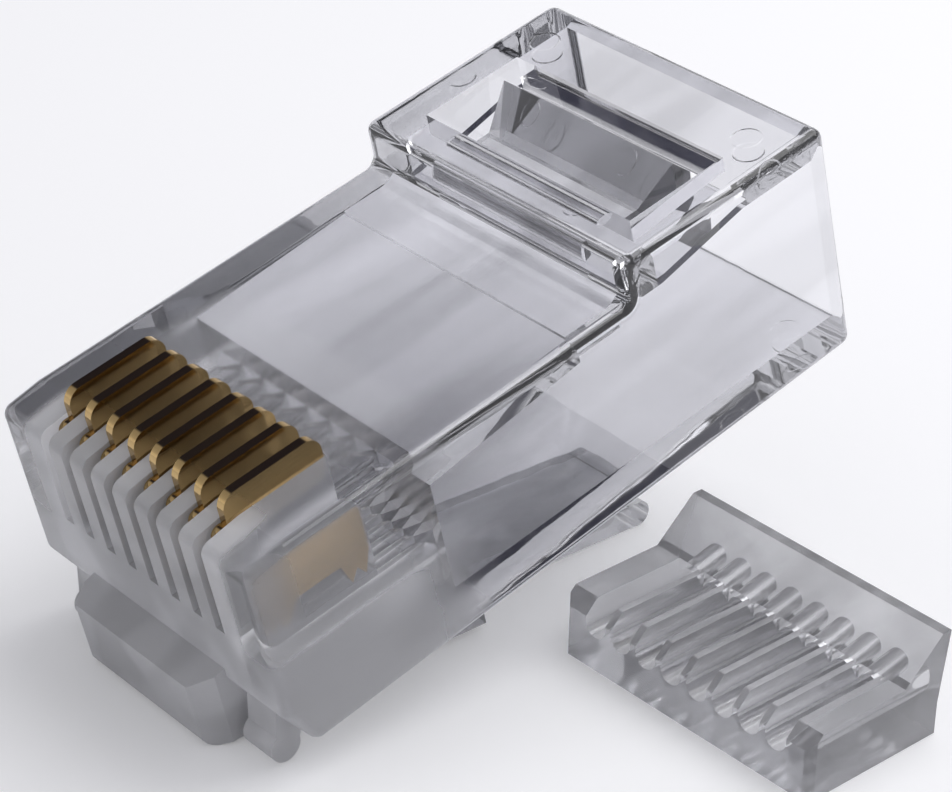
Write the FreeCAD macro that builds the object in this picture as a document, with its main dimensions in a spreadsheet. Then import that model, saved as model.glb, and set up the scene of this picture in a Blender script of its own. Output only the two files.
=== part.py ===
"""Clear 8-position modular plug, uncrimped, with its conductor insert lying beside it.

Each plug piece is drawn in the plug's own frame: X across its width, Y from the nose back to
the cable entry, Z from the latch side up to the contact side.  Then the whole plug is pitched
nose down, as it lies on its latch, and the middle of the nose's front face comes to the origin.
"""
import FreeCAD, Part
import math
import os
import re
import Sketcher

Vector = FreeCAD.Vector

# Driving dimensions: millimetres, except the angles in degrees.
SIZES = {
    # housing
    "plug_width": 11.68,
    "plug_length": 21.8,
    "nose_height": 6.62,
    "nose_drop": 0.18,
    "nose_drop_run": 1.4,
    "lead_in": 0.8,
    "lead_in_rise": 1.25,
    "block_start": 14.0,
    "block_height": 8.06,
    "outer_round": 0.36,
    "floor_wall": 1.25,
    "floor_slope": 0.2,
    "side_wall": 0.9,
    "chamber_front": 6.4,
    "chamber_mouth_height": 5.05,
    "mouth_tooth_top": 3.2,
    "mouth_tooth_depth": 0.5,
    "mouth_tooth_land": 0.1,
    "roof_step_at": 12.1,
    "roof_step_height": 5.6,
    "roof_step_rise": 0.22,
    "block_roof_height": 6.3,
    "entry_roof_wall": 1.15,
    "entry_flare": 0.35,
    # window over the cable cavity, and the strain relief bar in it
    "window_start": 15.4,
    "window_end": 19.05,
    "window_width": 8.9,
    "bar_width": 7.3,
    "bar_web_width": 6.5,
    "bar_pivot_drop": 1.11,
    "bar_pivot_radius": 0.3,
    "bar_web": 0.42,
    "bar_face_start": 16.65,
    "bar_face_run": 1.2,
    "bar_face_rise": 1.05,
    "bar_back_gap": 0.6,
    "bar_tail_depth": 1.6,
    # contacts, their slots and the conductor channels
    "contact_pitch": 1.02,
    "contact_thickness": 0.3,
    "contact_front": 0.6,
    "contact_length": 3.8,
    "contact_top": 7.38,
    "contact_toe_drop": 0.93,
    "contact_toe_length": 0.42,
    "contact_nose_radius": 0.3,
    "contact_crown_radius": 0.5,
    "contact_foot": 3.12,
    "tine_length": 0.75,
    "tine_width": 0.5,
    "slot_clearance": 0.05,
    "slot_sill": 3.3,
    "slot_front_wall": 0.5,
    "channel_bore": 0.92,
    "channel_height": 2.45,
    # latch, its fixed root and the lugs beside it
    "latch_width": 6.22,
    "latch_tail_width": 3.25,
    "root_reach": 1.07,
    "root_drop": 0.97,
    "root_back_drop": 1.25,
    "root_top": 1.4,
    "root_corner": 0.45,
    "root_corner_run": 0.7,
    "foot_round": 0.42,
    "latch_pivot_y": 1.0,
    "latch_pivot_drop": 0.7,
    "latch_pivot_radius": 0.45,
    "pivot_clearance": 0.04,
    "latch_shoulder": 8.6,
    "shoulder_top_drop": 2.0,
    "shoulder_height": 1.15,
    "latch_reach": 16.3,
    "latch_drop": 5.28,
    "lug_gap": 0.35,
    "lug_width": 1.3,
    "lug_radius": 0.5,
    "lug_y": 0.3,
    "lug_drop": 0.62,
    # conductor insert that lies beside the plug
    "insert_width": 9.8,
    "insert_block_depth": 3.75,
    "insert_block_height": 2.1,
    "insert_edge": 0.45,
    "insert_corner": 0.25,
    "insert_foot_depth": 5.2,
    "insert_plate_top": 3.35,
    "insert_plate_lean": 1.4,
    "insert_plate_land": 0.35,
    "insert_groove": 0.8,
    "insert_groove_height": 1.5,
    "insert_offset": 0.54,
    "insert_back": 11.24,
    "insert_turn": 1.3,
}
CONTACTS = 8
TINY = 1e-6
ALIAS = re.compile(r"\b(" + "|".join(sorted(SIZES, key=len, reverse=True)) + r")\b")

# Lengths that several pieces share, written with the sheet's names.
HALF_HEIGHT = "((nose_height - nose_drop + lead_in_rise) / 2)"
REST_TILT = ("atan((latch_drop - root_drop)"
             " / (latch_reach + root_reach - 2 * foot_round))")
REST_DEPTH = "(root_drop - foot_round + %s)" % HALF_HEIGHT
CHAMBER_WIDTH = "(plug_width - 2 * side_wall)"
SLOT_WIDTH = "(contact_thickness + 2 * slot_clearance)"
SLOT_END = "(contact_front + contact_length + slot_clearance)"
CHANNEL_FLOOR = "(channel_height - channel_bore / 2)"
ENTRY_ROOF = "(block_height - entry_roof_wall)"
BAR_PIVOT_Y = "(window_start + pivot_clearance)"
BAR_PIVOT_Z = "(block_height - bar_pivot_drop)"
BAR_BACK = "(window_end - bar_back_gap)"

doc = FreeCAD.newDocument("modular_plug")
sheet = doc.addObject("Spreadsheet::Sheet", "Dims")


def fill_sheet():
    """One row for each driving dimension: its name, then its number under that alias."""
    for row, (name, number) in enumerate(SIZES.items(), start=1):
        sheet.set("A%d" % row, name)
        sheet.set("B%d" % row, str(number))
        sheet.setAlias("B%d" % row, name)
    doc.recompute()


def cells(expression):
    """The expression with each size's name pointing at its cell in the sheet."""
    return ALIAS.sub(r"Dims.\1", expression)


def bind(target, path, expression):
    target.setExpression(path, cells(expression))


def plane(body, role):
    return next(f for f in body.Origin.OriginFeatures if f.Role == role)


def new_body(name):
    body = doc.addObject("PartDesign::Body", name)
    body.Label = name
    return body


def new_sketch(body, name, role="YZ_Plane", offset=None):
    """A sketch on one of the body's own planes, moved along its normal by offset."""
    sketch = body.newObject("Sketcher::SketchObject", name)
    sketch.AttachmentSupport = [(plane(body, role), "")]
    sketch.MapMode = "FlatFace"
    if offset:
        bind(sketch, "AttachmentOffset.Base.z", offset)
    return sketch


def pin_point(sketch, geometry, vertex, place, name):
    """Hold one point of a sketch at the place that its two expressions give."""
    for kind, letter, expression in (("DistanceX", "u", place[0]), ("DistanceY", "v", place[1])):
        index = sketch.addConstraint(Sketcher.Constraint(kind, geometry, vertex, 1.0))
        sketch.renameConstraint(index, letter + name)
        bind(sketch, "Constraints.%s%s" % (letter, name), expression)


def outline(sketch, corners):
    """A closed outline of straight edges; each corner is a pair of expressions."""
    count = len(corners)
    start = sketch.GeometryCount
    ring = [Vector(math.cos(2 * math.pi * k / count), math.sin(2 * math.pi * k / count), 0)
            for k in range(count)]
    for k in range(count):
        sketch.addGeometry(Part.LineSegment(ring[k], ring[(k + 1) % count]))
    for k in range(count):
        joined = start + (k + 1) % count
        sketch.addConstraint(Sketcher.Constraint("Coincident", start + k, 2, joined, 1))
    for k, corner in enumerate(corners):
        pin_point(sketch, start + k, 1, corner, "%d" % (start + k))


def circle(sketch, centre, radius):
    index = sketch.addGeometry(Part.Circle(Vector(1, 1, 0), Vector(0, 0, 1), 1.0))
    pin_point(sketch, index, 3, centre, "%d" % index)
    size = sketch.addConstraint(Sketcher.Constraint("Radius", index, 1.0))
    sketch.renameConstraint(size, "r%d" % index)
    bind(sketch, "Constraints.r%d" % index, radius)


def extrude(body, kind, sketch, length, midplane=True, flip=False):
    """A Pad or Pocket of the sketch, to both sides of it unless midplane is off."""
    feature = body.newObject("PartDesign::" + kind, sketch.Name + "_" + kind.lower())
    feature.Profile = sketch
    feature.Midplane = midplane
    feature.Reversed = flip
    bind(feature, "Length", length)
    sketch.Visibility = False
    return feature


def row_of(body, feature, count, pitch):
    """Repeat a feature along X."""
    pattern = body.newObject("PartDesign::LinearPattern", feature.Name + "_row")
    pattern.Originals = [feature]
    pattern.Direction = (plane(body, "X_Axis"), [""])
    pattern.Occurrences = count
    bind(pattern, "Length", "%d * %s" % (count - 1, pitch))
    body.Tip = pattern
    return pattern


def mirror(body, feature):
    """Repeat a feature on the other side of the middle plane."""
    pattern = body.newObject("PartDesign::Mirrored", feature.Name + "_mirror")
    pattern.Originals = [feature]
    pattern.MirrorPlane = (plane(body, "YZ_Plane"), [""])
    body.Tip = pattern
    return pattern


def cut_corners(body, name, side, front, run, depth):
    """Bevel the two upright front corners of a block whose half width is side."""
    sketch = new_sketch(body, name, role="XY_Plane")
    beyond = "%s + %s" % (side, depth)
    outline(sketch, [("%s - %s" % (side, depth), front), ("%s - %s" % (side, depth), front + " - " + run),
                     (beyond, front + " - " + run), (beyond, "%s + %s" % (front, run)),
                     (side, "%s + %s" % (front, run))])
    mirror(body, extrude(body, "Pocket", sketch, "4 * nose_height"))


def fillet(body, base, edges, radius):
    feature = body.newObject("PartDesign::Fillet", base.Name + "_round")
    feature.Base = (base, edges)
    bind(feature, "Radius", radius)
    return feature


def cross_edges(shape, y, z):
    """Names of the shape's edges that run along X at this Y and Z."""
    names = []
    for number, edge in enumerate(shape.Edges, start=1):
        ends = [vertex.Point for vertex in edge.Vertexes]
        if all(abs(end.y - y) < TINY and abs(end.z - z) < TINY for end in ends):
            names.append("Edge%d" % number)
    return names


def place_on_latch(body):
    """Pitch a plug piece nose down, with the middle of the nose's face at the origin."""
    bind(body, "Placement.Rotation.Axis.x", "1")
    bind(body, "Placement.Rotation.Axis.y", "0")
    bind(body, "Placement.Rotation.Axis.z", "0")
    bind(body, "Placement.Rotation.Angle", REST_TILT)
    bind(body, "Placement.Base.y", "%s * sin(%s)" % (HALF_HEIGHT, REST_TILT))
    bind(body, "Placement.Base.z", "-%s * cos(%s)" % (HALF_HEIGHT, REST_TILT))


def housing_shell(body):
    """The outer block: nose, raised cable end and the lead-in under the nose."""
    sketch = new_sketch(body, "side_outline")
    outline(sketch, [("0", "lead_in_rise"), ("lead_in", "-floor_slope"),
                     ("plug_length", "floor_slope"),
                     ("plug_length", "block_height"), ("block_start", "block_height"),
                     ("block_start", "nose_height"), ("nose_drop_run", "nose_height"),
                     ("0", "nose_height - nose_drop")])
    pad = extrude(body, "Pad", sketch, "plug_width")
    doc.recompute()
    every_edge = ["Edge%d" % number for number in range(1, len(pad.Shape.Edges) + 1)]
    return fillet(body, pad, every_edge, "outer_round")


def housing_cavities(body):
    """Insert chamber, cable cavity and the window in the raised block."""
    sketch = new_sketch(body, "cavity_outline")
    outline(sketch, [("chamber_front", "floor_wall"),
                     ("plug_length - entry_flare", "floor_wall"),
                     ("plug_length + entry_flare", "floor_wall - 2 * entry_flare"),
                     ("plug_length + entry_flare", ENTRY_ROOF + " + 2 * entry_flare"),
                     ("plug_length - entry_flare", ENTRY_ROOF),
                     ("window_end - entry_flare", ENTRY_ROOF),
                     ("window_start", "block_roof_height"),
                     ("block_start + entry_flare", "block_roof_height"),
                     ("block_start - entry_flare", "roof_step_height + roof_step_rise"),
                     ("roof_step_at", "roof_step_height + roof_step_rise"),
                     ("roof_step_at", "roof_step_height"),
                     ("chamber_front", "chamber_mouth_height")])
    extrude(body, "Pocket", sketch, CHAMBER_WIDTH)
    sketch = new_sketch(body, "window_outline")
    outline(sketch, [("window_start", BAR_PIVOT_Z + " - 2 * bar_pivot_radius"),
                     ("window_end", BAR_PIVOT_Z + " - 2 * bar_pivot_radius"),
                     ("window_end", "block_height + outer_round"),
                     ("window_start", "block_height + outer_round")])
    extrude(body, "Pocket", sketch, "window_width")
    sketch = new_sketch(body, "bar_seat")
    circle(sketch, (BAR_PIVOT_Y, BAR_PIVOT_Z), "bar_pivot_radius + pivot_clearance")
    extrude(body, "Pocket", sketch, "bar_web_width + 2 * pivot_clearance")


def housing_slots(body):
    """Eight blade slots, open on top and in front, over conductor channels with V-shaped mouths."""
    first = "-%s * contact_pitch / 2" % (CONTACTS - 1)
    sketch = new_sketch(body, "slot_outline", offset=first)
    outline(sketch, [("-outer_round", "slot_sill"), ("slot_front_wall", "slot_sill"),
                     ("slot_front_wall", CHANNEL_FLOOR + " + channel_bore / 2"),
                     (SLOT_END, CHANNEL_FLOOR + " + channel_bore / 2"),
                     (SLOT_END, "nose_height + outer_round"),
                     ("-outer_round", "nose_height + outer_round")])
    slot = extrude(body, "Pocket", sketch, SLOT_WIDTH)
    row_of(body, slot, CONTACTS, "contact_pitch")
    sketch = new_sketch(body, "channel_outline", role="XZ_Plane", offset="-chamber_front")
    circle(sketch, (first, "channel_height"), "channel_bore / 2")
    channel = extrude(body, "Pocket", sketch, "chamber_front - slot_front_wall",
                      midplane=False, flip=True)
    row_of(body, channel, CONTACTS, "contact_pitch")
    sketch = new_sketch(body, "tooth_outline", role="XY_Plane",
                        offset="(floor_wall + mouth_tooth_top) / 2")
    half = "(contact_pitch - mouth_tooth_land) / 2"
    outline(sketch, [("%s - %s" % (first, half), "chamber_front"),
                     ("%s - mouth_tooth_land / 2" % first, "chamber_front - mouth_tooth_depth"),
                     ("%s + mouth_tooth_land / 2" % first, "chamber_front - mouth_tooth_depth"),
                     ("%s + %s" % (first, half), "chamber_front"),
                     ("%s + %s" % (first, half), "chamber_front + mouth_tooth_depth"),
                     ("%s - %s" % (first, half), "chamber_front + mouth_tooth_depth")])
    tooth = extrude(body, "Pocket", sketch, "mouth_tooth_top - floor_wall")
    row_of(body, tooth, CONTACTS, "contact_pitch")


def housing_latch_root(body):
    """The fixed root that the latch hangs from, and the lugs on each side of it."""
    sketch = new_sketch(body, "root_outline")
    outline(sketch, [("-root_reach", "-root_drop"),
                     ("-root_reach + 2 * foot_round", "-root_drop"),
                     ("latch_pivot_y", "-root_back_drop"),
                     ("latch_pivot_y", "lead_in_rise / 2"),
                     ("lead_in / 2", "lead_in_rise + outer_round"),
                     ("0", "lead_in_rise + outer_round"), ("-root_reach", "root_top")])
    root = extrude(body, "Pad", sketch, "latch_width")
    doc.recompute()
    foot = cross_edges(root.Shape, -SIZES["root_reach"], -SIZES["root_drop"])
    fillet(body, root, foot, "foot_round")
    cut_corners(body, "root_corners", "latch_width / 2", "-root_reach", "root_corner_run", "root_corner")
    sketch = new_sketch(body, "latch_seat")
    circle(sketch, ("latch_pivot_y", "-latch_pivot_drop"), "latch_pivot_radius + pivot_clearance")
    extrude(body, "Pocket", sketch, "latch_width + 2 * lug_gap")
    sketch = new_sketch(body, "lug_outline",
                        offset="latch_width / 2 + lug_gap + lug_width / 2")
    outline(sketch, [("lug_y - lug_radius / 2", "-lug_drop"), ("lug_y + lug_radius", "-lug_drop"),
                     ("lug_y + 2 * lug_radius", "lead_in_rise / 2"),
                     ("lead_in / 2", "lead_in_rise"),
                     ("lug_y - lug_radius / 2", "-lug_drop + lug_radius / 2")])
    web = extrude(body, "Pad", sketch, "lug_width")
    mirror(body, web)
    sketch = new_sketch(body, "lug_round", offset="latch_width / 2 + lug_gap + lug_width / 2")
    circle(sketch, ("lug_y", "-lug_drop"), "lug_radius")
    nose = extrude(body, "Pad", sketch, "lug_width")
    mirror(body, nose)


def make_housing():
    body = new_body("housing")
    housing_shell(body)
    housing_cavities(body)
    housing_slots(body)
    housing_latch_root(body)
    place_on_latch(body)
    return body


def make_latch_lever():
    """The latch: pivot barrel, wide locking part with its shoulders, and the thumb tail."""
    body = new_body("latch_lever")
    low = "-latch_pivot_drop - latch_pivot_radius"
    high = "-latch_pivot_drop + latch_pivot_radius"
    sketch = new_sketch(body, "tail_outline")
    outline(sketch, [("latch_pivot_y", low), ("latch_reach - foot_round", "-latch_drop"),
                     ("latch_reach - foot_round", "-latch_drop + 2 * foot_round"),
                     ("latch_pivot_y", high)])
    extrude(body, "Pad", sketch, "latch_tail_width")
    sketch = new_sketch(body, "tip_outline")
    circle(sketch, ("latch_reach - foot_round", "-latch_drop + foot_round"), "foot_round")
    extrude(body, "Pad", sketch, "latch_tail_width")
    sketch = new_sketch(body, "wide_outline")
    outline(sketch, [("latch_pivot_y", low),
                     ("latch_shoulder", "-shoulder_top_drop - shoulder_height"),
                     ("latch_shoulder", "-shoulder_top_drop"), ("latch_pivot_y", high)])
    extrude(body, "Pad", sketch, "latch_width")
    sketch = new_sketch(body, "barrel_outline")
    circle(sketch, ("latch_pivot_y", "-latch_pivot_drop"), "latch_pivot_radius")
    extrude(body, "Pad", sketch, "latch_width")
    place_on_latch(body)
    return body


def make_strain_relief_bar():
    """The bar in the window: pivot barrel, thin web and the wedge that grips the cable."""
    body = new_body("strain_relief_bar")
    sketch = new_sketch(body, "bar_outline")
    outline(sketch, [(BAR_PIVOT_Y, BAR_PIVOT_Z + " - bar_web / 2"),
                     ("bar_face_start", BAR_PIVOT_Z + " - bar_web / 2"),
                     (BAR_BACK + " - bar_face_run / 2", BAR_PIVOT_Z + " - bar_tail_depth"),
                     (BAR_BACK + " - bar_web / 2", BAR_PIVOT_Z + " - bar_tail_depth + bar_web"),
                     (BAR_BACK, BAR_PIVOT_Z + " + bar_face_rise - bar_web"),
                     ("bar_face_start + bar_face_run",
                      BAR_PIVOT_Z + " + bar_web / 2 + bar_face_rise"),
                     ("bar_face_start", BAR_PIVOT_Z + " + bar_web / 2"),
                     (BAR_PIVOT_Y, BAR_PIVOT_Z + " + bar_web / 2")])
    extrude(body, "Pad", sketch, "bar_width")
    sketch = new_sketch(body, "bar_taper", role="XY_Plane")
    outline(sketch, [("bar_web_width / 2", "window_start - bar_face_run"),
                     ("bar_width", "window_start - bar_face_run"),
                     ("bar_width", "bar_face_start + bar_face_run"),
                     ("bar_width / 2", "bar_face_start + bar_face_run"),
                     ("bar_web_width / 2", "bar_face_start")])
    mirror(body, extrude(body, "Pocket", sketch, "4 * block_height"))
    sketch = new_sketch(body, "bar_barrel")
    circle(sketch, (BAR_PIVOT_Y, BAR_PIVOT_Z), "bar_pivot_radius")
    extrude(body, "Pad", sketch, "bar_web_width")
    place_on_latch(body)
    return body


def make_contact(number):
    """One blade: crown, stepped toe in front, and two piercing tines below."""
    body = new_body("contact_%d" % number)
    across = "(%s) * contact_pitch" % (number - (CONTACTS + 1) / 2)
    back = "contact_front + contact_length"
    waist = "contact_foot + tine_length"
    toe = "contact_top - contact_toe_drop"
    sketch = new_sketch(body, "blade_outline_%d" % number, offset=across)
    outline(sketch, [("contact_front", "contact_foot + tine_length / 2"),
                     ("contact_front + tine_width / 2", "contact_foot"),
                     ("contact_front + tine_width", "contact_foot + tine_length / 2"),
                     ("contact_front + 3 * tine_width / 2", "contact_foot"),
                     ("contact_front + 2 * tine_width + tine_width / 2", waist),
                     (back + " - 2 * tine_width", waist),
                     (back + " - 3 * tine_width / 2", "contact_foot"),
                     (back + " - tine_width", "contact_foot + tine_length / 2"),
                     (back + " - tine_width / 2", "contact_foot"),
                     (back, waist), (back, "contact_top"),
                     ("contact_front + contact_toe_length", "contact_top"),
                     ("contact_front + contact_toe_length", toe),
                     ("contact_front", toe)])
    blade = extrude(body, "Pad", sketch, "contact_thickness")
    front, top = SIZES["contact_front"], SIZES["contact_top"]
    doc.recompute()
    toe_corner = cross_edges(blade.Shape, front, top - SIZES["contact_toe_drop"])
    blade = fillet(body, blade, toe_corner, "contact_nose_radius")
    doc.recompute()
    crown = cross_edges(blade.Shape, front + SIZES["contact_toe_length"], top)
    crown += cross_edges(blade.Shape, front + SIZES["contact_length"], top)
    fillet(body, blade, crown, "contact_crown_radius")
    place_on_latch(body)
    return body


def make_load_bar():
    """The conductor insert: grooved block, slanted guide plate and eight through bores."""
    body = new_body("load_bar")
    sketch = new_sketch(body, "insert_side")
    outline(sketch, [("0", "0"), ("insert_foot_depth", "0"),
                     ("insert_foot_depth", "insert_block_height / 2"),
                     ("insert_block_depth + insert_plate_lean + insert_plate_land",
                      "insert_plate_top"),
                     ("insert_block_depth + insert_plate_lean", "insert_plate_top"),
                     ("insert_block_depth", "insert_block_height"),
                     ("insert_edge", "insert_block_height"),
                     ("0", "insert_block_height - insert_edge")])
    extrude(body, "Pad", sketch, "insert_width")
    first = "-%s * contact_pitch / 2" % (CONTACTS - 1)
    sketch = new_sketch(body, "groove_outline", offset=first)
    outline(sketch, [("-insert_edge", "insert_groove_height"),
                     ("insert_block_depth", "insert_groove_height"),
                     ("insert_block_depth", "insert_block_height + insert_edge"),
                     ("-insert_edge", "insert_block_height + insert_edge")])
    groove = extrude(body, "Pocket", sketch, "insert_groove")
    row_of(body, groove, CONTACTS, "contact_pitch")
    sketch = new_sketch(body, "bore_outline", role="XZ_Plane")
    circle(sketch, (first, "insert_groove_height"), "insert_groove / 2")
    bore = extrude(body, "Pocket", sketch, "2 * insert_foot_depth", midplane=False)
    row_of(body, bore, CONTACTS, "contact_pitch")
    cut_corners(body, "insert_corners", "insert_width / 2", "0", "insert_corner", "insert_corner")
    lie_beside_plug(body)
    return body


def lie_beside_plug(body):
    """Set the insert on the surface that the plug's root and latch tip rest on."""
    across = "(plug_width / 2 - insert_offset + insert_width / 2)"
    bind(body, "Placement.Rotation.Angle", "insert_turn")
    bind(body, "Placement.Base.x", across)
    bind(body, "Placement.Base.y", "insert_back")
    bind(body, "Placement.Base.z", "-(%s * cos(%s) + (root_reach - foot_round) * sin(%s) + foot_round)"
         % (REST_DEPTH, REST_TILT, REST_TILT))


def check(bodies):
    """Stop if any feature failed or any piece isn't one valid solid."""
    for item in doc.Objects:
        if "Invalid" in item.State or "Error" in item.State:
            raise RuntimeError("%s is %s" % (item.Label, item.State))
    for body in bodies:
        if body.Shape.isNull() or not body.Shape.isValid() or len(body.Shape.Solids) != 1:
            raise RuntimeError("%s isn't one valid solid" % body.Label)


def export(bodies):
    os.makedirs("parts", exist_ok=True)
    for body in bodies:
        body.Shape.exportStep("parts/%s.step" % body.Label)


def main():
    fill_sheet()
    bodies = [make_housing(), make_latch_lever(), make_strain_relief_bar()]
    bodies += [make_contact(number) for number in range(1, CONTACTS + 1)]
    bodies.append(make_load_bar())
    doc.recompute()
    check(bodies)
    export(bodies)


main()
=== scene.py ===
"""Looks of a clear modular plug lying on its latch, with its conductor insert beside it."""
import math

import bpy
from mathutils import Matrix, Vector


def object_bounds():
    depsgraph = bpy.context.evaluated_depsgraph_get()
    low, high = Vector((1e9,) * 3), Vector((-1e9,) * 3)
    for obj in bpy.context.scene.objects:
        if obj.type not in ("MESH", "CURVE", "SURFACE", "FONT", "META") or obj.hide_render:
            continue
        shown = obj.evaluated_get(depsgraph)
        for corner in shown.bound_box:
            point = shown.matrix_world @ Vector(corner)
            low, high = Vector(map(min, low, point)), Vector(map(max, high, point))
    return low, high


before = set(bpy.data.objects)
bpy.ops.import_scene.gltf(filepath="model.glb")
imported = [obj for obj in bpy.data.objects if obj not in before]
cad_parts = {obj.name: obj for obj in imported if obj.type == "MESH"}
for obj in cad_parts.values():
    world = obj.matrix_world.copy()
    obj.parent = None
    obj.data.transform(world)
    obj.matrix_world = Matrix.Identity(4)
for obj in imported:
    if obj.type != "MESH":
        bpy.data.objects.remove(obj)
cad_low, cad_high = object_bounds()
scene = bpy.context.scene
MM = 0.001

# Camera: its place, what it looks at and how it is held, in millimetres and degrees.
CAMERA_AT = Vector((64.352, -43.857, 49.285)) * MM
CAMERA_AIM = Vector((0.5141, 11.7352, 1.3270)) * MM
CAMERA_ROLL = 1.365
CAMERA_LENS = 125.54
SENSOR = 36.0

# The floor, just below the part, and the light that it seems to give, near and far.
FLOOR_GAP = 0.02 * MM
FLOOR_REACH = 1.5
FLOOR_COLOUR = (0.88, 0.88, 0.9, 1)
FLOOR_GLOW = 0.18
FAR_GLOW = 0.52
NEAR = 60 * MM
FAR = 450 * MM

# The room: its colour low down, high up, at the horizon and in its one dark screen.
LOW_ROOM = (0.66, 0.66, 0.68)
HIGH_ROOM = (0.42, 0.42, 0.44)
HORIZON = (0.93, 0.93, 0.945)
SCREEN = (0.022, 0.022, 0.045)
SCREEN_TOWARDS = (-0.70, 0.17, 0.695)

# The plastics: how far the plug leans, its smoke, the painted shade streaks in its tint and its
# haze.
PLUG_TILT = 14.61
POLYCARBONATE_INDEX = 1.585
SMOKE_COLOUR = (0.5, 0.502, 0.535, 1)
SMOKE_DENSITY = 90.0
# Painted shade: how the streaks are stretched, and how much darker they make the tint.
SHADE_STREAK_STRETCH = (0.45, 0.07, 0.45)
PAINTED_STREAK_SHADE = 0.82
HAZE_PER_FROST = 0.7
WAVE_DEPTH = 0.006
MARK_DEPTH = 0.02

# The insert's index is set for the look of its plate, and not for its plastic.
INSERT_INDEX = 1.45

# The haze on the plug: how strong, and over which millimetres across, back and up it fades.
FRONT_HAZE = 0.6
SLOT_HAZE = 0.14
FOOT_HAZE = 0.32
HAZE_SIDES = (4.3, 4.8)
HAZE_FRONT = (0.9, 2.4)
HAZE_BACK = (6.9, 8.0)
FOOT_BACK = (4.5, 8.0)
FOOT_TOP = (-1.2, 0.4)

# How many surfaces a ray may meet on its way through the clear plastic.
CLEAR_BOUNCES = 10


def make_camera():
    data = bpy.data.cameras.new("camera")
    data.sensor_width = SENSOR
    data.lens = CAMERA_LENS
    data.clip_start = 0.001
    data.clip_end = 10.0
    camera = bpy.data.objects.new("camera", data)
    scene.collection.objects.link(camera)
    turn = (CAMERA_AIM - CAMERA_AT).to_track_quat("-Z", "Y").to_matrix().to_4x4()
    roll = Matrix.Rotation(math.radians(CAMERA_ROLL), 4, "Z")
    camera.matrix_world = Matrix.Translation(CAMERA_AT) @ turn @ roll
    scene.camera = camera


def new_material(name):
    material = bpy.data.materials.new(name)
    material.use_nodes = True
    nodes = material.node_tree.nodes
    return material, nodes, material.node_tree.links, nodes["Principled BSDF"]


def plug_place(nodes, links):
    """Where a point is in the plug's own frame, in millimetres: across, back and up."""
    place = nodes.new("ShaderNodeTexCoord")
    turn = nodes.new("ShaderNodeMapping")
    turn.inputs["Rotation"].default_value = (-math.radians(PLUG_TILT), 0, 0)
    turn.inputs["Scale"].default_value = (1 / MM, 1 / MM, 1 / MM)
    links.new(place.outputs["Object"], turn.inputs["Vector"])
    return turn.outputs["Vector"]


def stretched(nodes, links, vector, scale):
    """Scale each axis by itself, so that a pattern runs longer along one of them."""
    node = nodes.new("ShaderNodeMapping")
    node.inputs["Scale"].default_value = scale
    links.new(vector, node.inputs["Vector"])
    return node.outputs["Vector"]


def noise(nodes, links, vector, scale, detail=3.0):
    """Noise between 0 and 1 whose patches are about 1 / scale millimetres wide."""
    node = nodes.new("ShaderNodeTexNoise")
    node.inputs["Scale"].default_value = scale
    node.inputs["Detail"].default_value = detail
    links.new(vector, node.inputs["Vector"])
    return node.outputs["Fac"]


def span(nodes, links, value, low, high, out_low=0.0, out_high=1.0):
    """Take a value from low..high to out_low..out_high, smoothly and held at the ends."""
    node = nodes.new("ShaderNodeMapRange")
    node.interpolation_type = "SMOOTHSTEP"
    for name, number in (("From Min", low), ("From Max", high),
                         ("To Min", out_low), ("To Max", out_high)):
        node.inputs[name].default_value = number
    links.new(value, node.inputs["Value"])
    return node.outputs["Result"]


def calc(nodes, links, operation, first, second=0):
    """Join two numbers or sockets by a Math node."""
    node = nodes.new("ShaderNodeMath")
    node.operation = operation
    for slot, value in enumerate((first, second)):
        if isinstance(value, (int, float)):
            node.inputs[slot].default_value = value
        else:
            links.new(value, node.inputs[slot])
    return node.outputs[0]


def blend_colours(nodes, links, share, first, second):
    """Go from the first colour, or a socket that gives one, to the second as share rises."""
    node = nodes.new("ShaderNodeMix")
    node.data_type = "RGBA"
    links.new(share, node.inputs["Factor"])
    if isinstance(first, bpy.types.NodeSocket):
        links.new(first, node.inputs["A"])
    else:
        node.inputs["A"].default_value = (*first, 1)
    node.inputs["B"].default_value = (*second, 1)
    return node.outputs["Result"]


def bump(nodes, links, height, depth, below=None):
    """Turn a height between 0 and 1 into a bump, depth millimetres deep."""
    node = nodes.new("ShaderNodeBump")
    node.inputs["Distance"].default_value = depth * MM
    links.new(height, node.inputs["Height"])
    if below:
        links.new(below, node.inputs["Normal"])
    return node.outputs["Normal"]


def let_light_through(nodes, links, shader, share):
    """Lamps shine through the clear plastic onto what lies behind and below it."""
    path = nodes.new("ShaderNodeLightPath")
    clear = nodes.new("ShaderNodeBsdfTransparent")
    clear.inputs["Color"].default_value = (share, share, share * 1.02, 1)
    mix = nodes.new("ShaderNodeMixShader")
    links.new(path.outputs["Is Shadow Ray"], mix.inputs["Fac"])
    links.new(shader.outputs[0], mix.inputs[1])
    links.new(clear.outputs[0], mix.inputs[2])
    links.new(mix.outputs[0], nodes["Material Output"].inputs["Surface"])


def separate(nodes, links, vector):
    """Split a vector into its X, Y and Z."""
    node = nodes.new("ShaderNodeSeparateXYZ")
    links.new(vector, node.inputs[0])
    return node


def ejector_marks(nodes, links, place, mark):
    """Two round marks that the mould's pins leave: how far out, how far back, and their radius."""
    out, back, radius = mark
    split = separate(nodes, links, place)
    across = calc(nodes, links, "SUBTRACT", calc(nodes, links, "ABSOLUTE", split.outputs["X"]), out)
    along = calc(nodes, links, "SUBTRACT", split.outputs["Y"], back)
    square = calc(nodes, links, "ADD", calc(nodes, links, "MULTIPLY", across, across),
                  calc(nodes, links, "MULTIPLY", along, along))
    return span(nodes, links, square, (0.85 * radius) ** 2, radius ** 2)


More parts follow.
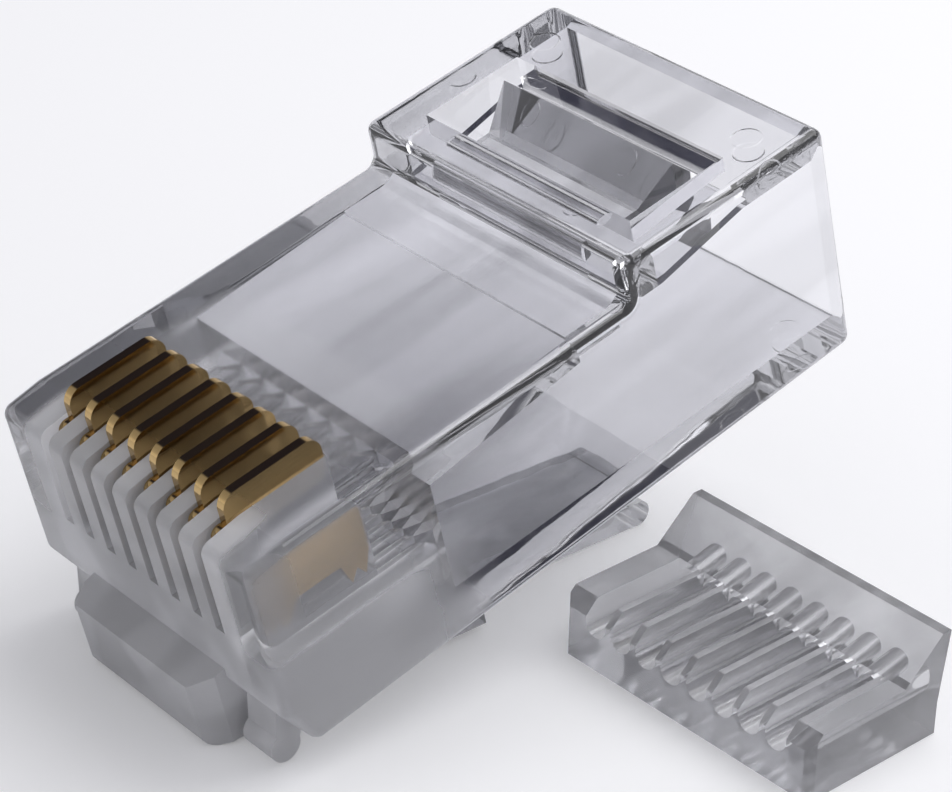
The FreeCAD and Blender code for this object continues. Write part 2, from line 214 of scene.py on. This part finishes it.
def clear_plastic(name, tint, index, clear_share, rough, density, shade, frosted, mark=None):
    """Clear moulded plastic: slightly wavy, with painted shade as darker streaks in its tint, and
    hazy where the mould was rough.

    shade is the share of a lamp's light that passes, frosted makes the extra roughness, and
    mark places the ejector marks.
    """
    material, nodes, links, shader = new_material(name)
    place = plug_place(nodes, links)
    # Painted shade: the tint is darker in long streaks, which stand in for streaks of shade seen in
    # the plastic.
    painted_shade_streaks = noise(nodes, links, stretched(nodes, links, place, SHADE_STREAK_STRETCH), 1.0, 1.0)
    links.new(blend_colours(nodes, links, span(nodes, links, painted_shade_streaks, 0.42, 0.6),
                            tint, [part * PAINTED_STREAK_SHADE for part in tint]),
              shader.inputs["Base Color"])
    shader.inputs["IOR"].default_value = index
    flow = noise(nodes, links, place, 0.55, 1.5)
    grain = noise(nodes, links, place, 4.0, 2.0)
    patchy = calc(nodes, links, "ADD", span(nodes, links, flow, 0.35, 0.7, rough, rough * 2.2),
                  span(nodes, links, grain, 0.3, 0.8, 0, rough * 0.6))
    frost = frosted(nodes, links, place)
    links.new(calc(nodes, links, "ADD", patchy, frost), shader.inputs["Roughness"])
    haze = calc(nodes, links, "MULTIPLY", frost, HAZE_PER_FROST)
    links.new(calc(nodes, links, "SUBTRACT", clear_share, haze),
              shader.inputs["Transmission Weight"])
    surface = bump(nodes, links, flow, WAVE_DEPTH)
    if mark:
        pins = ejector_marks(nodes, links, place, mark)
        surface = bump(nodes, links, pins, MARK_DEPTH, surface)
    links.new(surface, shader.inputs["Normal"])
    smoke = nodes.new("ShaderNodeVolumeAbsorption")
    smoke.inputs["Color"].default_value = SMOKE_COLOUR
    smoke.inputs["Density"].default_value = density
    links.new(smoke.outputs["Volume"], nodes["Material Output"].inputs["Volume"])
    let_light_through(nodes, links, shader, shade)
    return material


def frost_at_contacts(nodes, links, place):
    """The front, the ribs and slots round the contacts and the foot of the nose are rougher."""
    split = separate(nodes, links, place)
    across = calc(nodes, links, "ABSOLUTE", split.outputs["X"])
    back, up = split.outputs["Y"], split.outputs["Z"]
    inner = calc(nodes, links, "MULTIPLY", span(nodes, links, across, *HAZE_SIDES, 1, 0),
                 span(nodes, links, back, *HAZE_BACK, 1, 0))
    front = span(nodes, links, back, *HAZE_FRONT, FRONT_HAZE, SLOT_HAZE)
    foot = calc(nodes, links, "MULTIPLY", span(nodes, links, back, *FOOT_BACK, FOOT_HAZE, 0),
                span(nodes, links, up, *FOOT_TOP, 1, 0))
    return calc(nodes, links, "MAXIMUM", calc(nodes, links, "MULTIPLY", inner, front), foot)


def frost_everywhere(nodes, links, place):
    """A light haze in patches all over."""
    return span(nodes, links, noise(nodes, links, place, 1.3), 0.3, 0.7, 0.05, 0.09)


def no_frost(nodes, links, place):
    """Next to none, but uneven."""
    return span(nodes, links, noise(nodes, links, place, 1.0), 0.3, 0.7, 0.0, 0.02)


def gold():
    """Gold over stamped bronze: fine shearing lines, and duller patches."""
    material, nodes, links, shader = new_material("gold")
    place = plug_place(nodes, links)
    patches = noise(nodes, links, place, 0.5, 2.0)
    links.new(blend_colours(nodes, links, patches, (0.60, 0.42, 0.19), (0.46, 0.32, 0.15)),
              shader.inputs["Base Color"])
    shader.inputs["Metallic"].default_value = 1.0
    links.new(span(nodes, links, patches, 0, 1, 0.11, 0.17), shader.inputs["Roughness"])
    lines = noise(nodes, links, stretched(nodes, links, place, (1, 0.25, 3)), 5.0, 2.0)
    links.new(bump(nodes, links, lines, 0.0015), shader.inputs["Normal"])
    return material


def dress(node, material):
    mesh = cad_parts[node].data
    mesh.materials.clear()
    mesh.materials.append(material)


def seen_directly(nodes, links):
    """1 for what the camera sees itself, or in metal or through plastic, and 0 for light."""
    path = nodes.new("ShaderNodeLightPath")
    seen = calc(nodes, links, "MAXIMUM", path.outputs["Is Camera Ray"],
                path.outputs["Is Glossy Ray"])
    return calc(nodes, links, "MAXIMUM", seen, path.outputs["Is Transmission Ray"])


def make_floor():
    """A plain floor whose own glow grows with distance, as the lamp reaches less far."""
    floor_z = cad_low.z - FLOOR_GAP
    mesh = bpy.data.meshes.new("floor")
    corners = [(x * FLOOR_REACH, y * FLOOR_REACH, floor_z)
               for x, y in ((-1, -1), (1, -1), (1, 1), (-1, 1))]
    mesh.from_pydata(corners, [], [(0, 1, 2, 3)])
    floor = bpy.data.objects.new("floor", mesh)
    scene.collection.objects.link(floor)
    material, nodes, links, shader = new_material("floor")
    shader.inputs["Base Color"].default_value = FLOOR_COLOUR
    shader.inputs["Roughness"].default_value = 0.9
    shader.inputs["Specular IOR Level"].default_value = 0.0
    shader.inputs["Emission Color"].default_value = (1, 1, 1, 1)
    distance = nodes.new("ShaderNodeVectorMath")
    distance.operation = "LENGTH"
    links.new(nodes.new("ShaderNodeTexCoord").outputs["Object"], distance.inputs[0])
    glow = span(nodes, links, distance.outputs["Value"], NEAR, FAR, FLOOR_GLOW, FAR_GLOW)
    links.new(calc(nodes, links, "MULTIPLY", seen_directly(nodes, links), glow),
              shader.inputs["Emission Strength"])
    mesh.materials.append(material)


def area_light(name, place, aim, size, power):
    """A square lamp; its place, aim and size are in millimetres."""
    data = bpy.data.lights.new(name, "AREA")
    data.size = size * MM
    data.energy = power
    lamp = bpy.data.objects.new(name, data)
    scene.collection.objects.link(lamp)
    at = Vector(place) * MM
    lamp.matrix_world = (Matrix.Translation(at)
                         @ (Vector(aim) * MM - at).to_track_quat("-Z", "Y").to_matrix().to_4x4())


def make_world():
    """A pale room: lighter low down, with one dark screen high on the left."""
    world = bpy.data.worlds.new("world")
    scene.world = world
    world.use_nodes = True
    nodes, links = world.node_tree.nodes, world.node_tree.links
    place = nodes.new("ShaderNodeTexCoord").outputs["Generated"]
    up = separate(nodes, links, place).outputs["Z"]
    room = blend_colours(nodes, links, span(nodes, links, up, 0.0, 0.7), LOW_ROOM, HIGH_ROOM)
    towards = nodes.new("ShaderNodeVectorMath")
    towards.operation = "DOT_PRODUCT"
    links.new(place, towards.inputs[0])
    towards.inputs[1].default_value = SCREEN_TOWARDS
    screen = span(nodes, links, towards.outputs["Value"], 0.90, 0.97)
    room = blend_colours(nodes, links, screen, room, SCREEN)
    horizon = calc(nodes, links, "MULTIPLY", seen_directly(nodes, links),
                   span(nodes, links, up, 0.03, 0.3, 1, 0))
    room = blend_colours(nodes, links, horizon, room, HORIZON)
    links.new(room, nodes["Background"].inputs["Color"])
    nodes["Background"].inputs["Strength"].default_value = 1.0


make_camera()
make_world()
make_floor()
area_light("key", place=(25, 95, 150), aim=(0, 8, 0), size=170, power=0.2)
moulded = clear_plastic(
    "clear_plastic", tint=(0.935, 0.935, 0.96), index=POLYCARBONATE_INDEX, clear_share=0.985,
    rough=0.012, density=0.65 * SMOKE_DENSITY, shade=0.5, frosted=frost_at_contacts,
    mark=(4.35, 20.1, 0.5))
hinged = clear_plastic(
    "clear_plastic_hinged", tint=(0.97, 0.97, 0.98), index=POLYCARBONATE_INDEX, clear_share=0.94,
    rough=0.03, density=6 * SMOKE_DENSITY, shade=0.6, frosted=no_frost, mark=(2.1, 17.45, 0.34))
latch = clear_plastic(
    "clear_plastic_latch", tint=(0.94, 0.945, 0.965), index=POLYCARBONATE_INDEX, clear_share=0.96,
    rough=0.03, density=2 * SMOKE_DENSITY, shade=0.5, frosted=no_frost)
frosted = clear_plastic(
    "clear_plastic_frosted", tint=(0.96, 0.96, 0.98), index=INSERT_INDEX, clear_share=0.86,
    rough=0.02, density=2.5 * SMOKE_DENSITY, shade=0.5, frosted=frost_everywhere)
blade = gold()
for node, material in (("housing", moulded), ("latch_lever", latch),
                       ("strain_relief_bar", hinged), ("load_bar", frosted)):
    dress(node, material)
for number in range(1, 9):
    dress("contact_%d" % number, blade)
scene.view_settings.view_transform = "Standard"
scene.cycles.transmission_bounces = CLEAR_BOUNCES
scene.cycles.glossy_bounces = CLEAR_BOUNCES
scene.cycles.diffuse_bounces = 1
scene.cycles.max_bounces = CLEAR_BOUNCES
